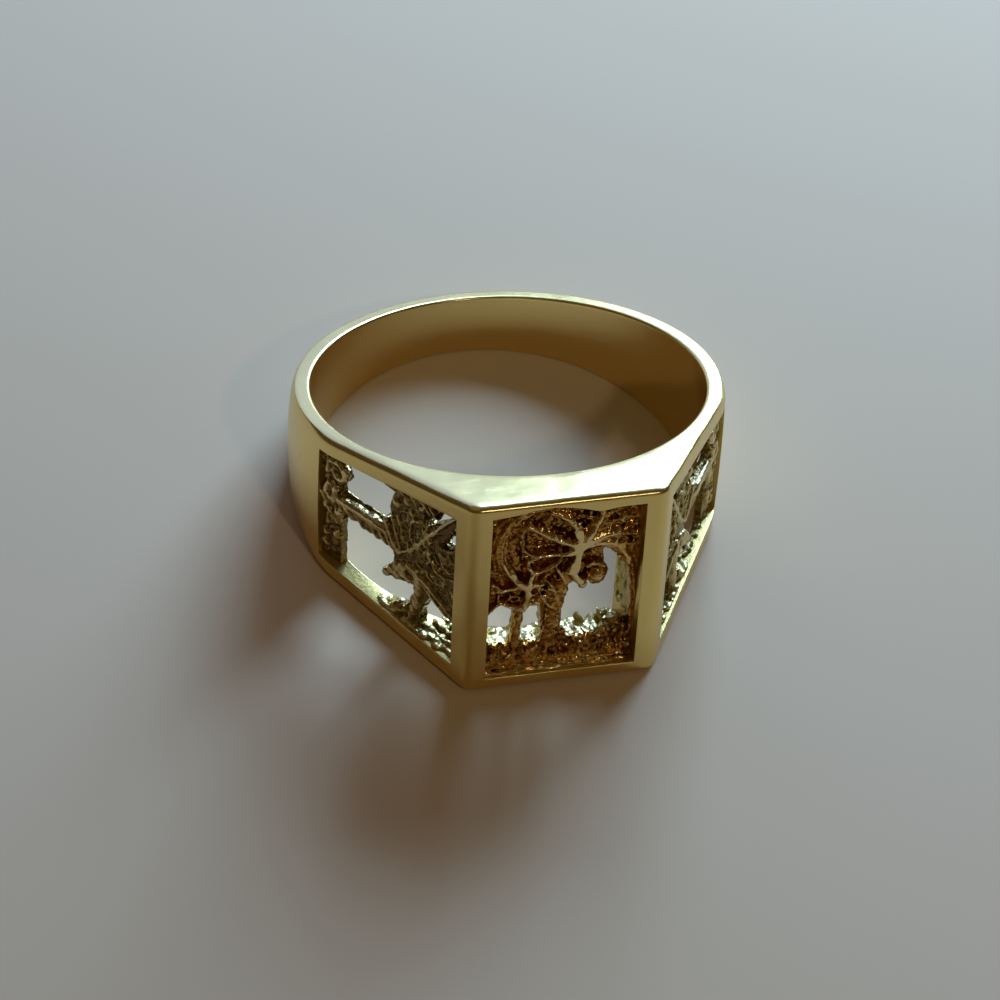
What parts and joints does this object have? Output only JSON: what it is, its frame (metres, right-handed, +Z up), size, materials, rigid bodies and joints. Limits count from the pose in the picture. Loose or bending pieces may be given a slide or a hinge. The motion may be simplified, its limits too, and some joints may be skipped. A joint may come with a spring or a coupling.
{
  "type": "filigree ring",
  "caption": "Tapered signet style finger ring in one casting, its flat front and shoulders cut as sunk windows with pierced palm tree relief, lying on its side face.",
  "frame": {"origin": "on the surface that the ring lies on, below the middle of its box", "axes": "+Z up from the surface, -Y towards the flat front, +X to the right seen from the front; the finger hole's axis leans back 10 degrees from +Z towards +Y"},
  "size_m": [0.021, 0.0232, 0.0107],
  "materials": {
    "polished_gold": "polished",
    "relief_gold": "as cast, tarnished in the recesses"
  },
  "bodies": {
    "root": {"ring": "polished_gold"}
  },
  "joints": []
}
